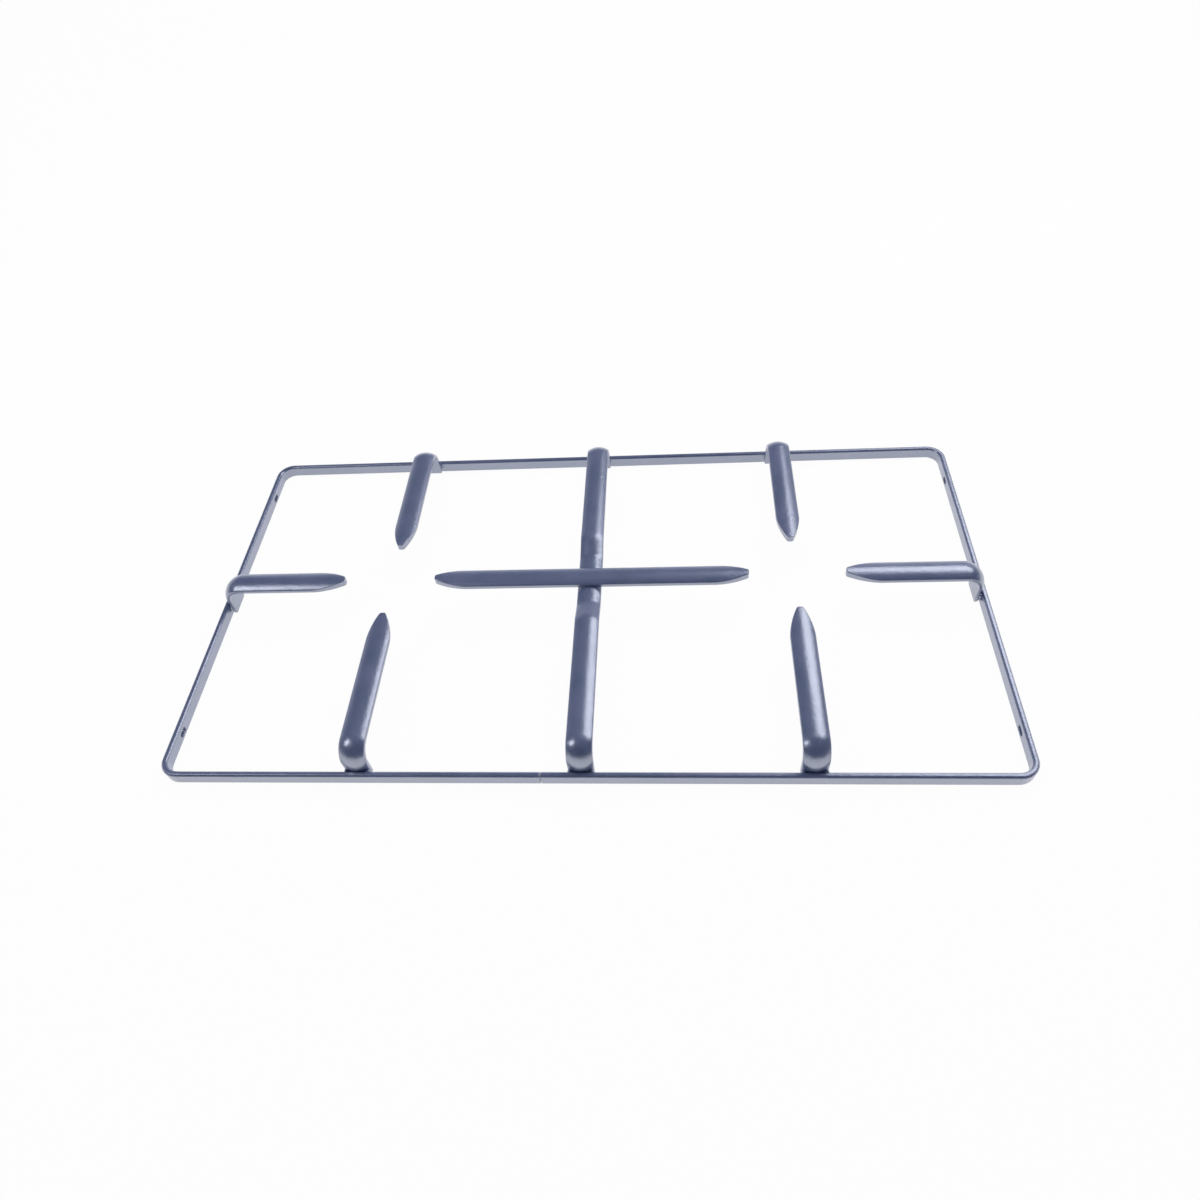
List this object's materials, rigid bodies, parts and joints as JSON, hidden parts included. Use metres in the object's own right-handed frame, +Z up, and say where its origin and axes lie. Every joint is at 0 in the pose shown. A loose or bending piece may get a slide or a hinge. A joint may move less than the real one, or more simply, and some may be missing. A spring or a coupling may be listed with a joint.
{
  "type": "hob pan support",
  "caption": "Enamelled steel pan support for a gas hob: a bent strip frame with welded crowned bars, whose pointed tips ring the burners and carry the pans.",
  "frame": {"origin": "middle of the frame, on the plane that the strip stands on", "axes": "+X along the frame's long side, +Y towards the rear, +Z up to the pans"},
  "size_m": [0.47, 0.251, 0.0252],
  "materials": {
    "enamel": "gloss vitreous enamel"
  },
  "bodies": {
    "root": {"frame_strip": "enamel", "front_left_finger": "enamel", "front_right_finger": "enamel", "rear_left_finger": "enamel", "rear_right_finger": "enamel", "left_finger": "enamel", "right_finger": "enamel", "centre_bar": "enamel", "cross_bar": "enamel"}
  },
  "joints": []
}
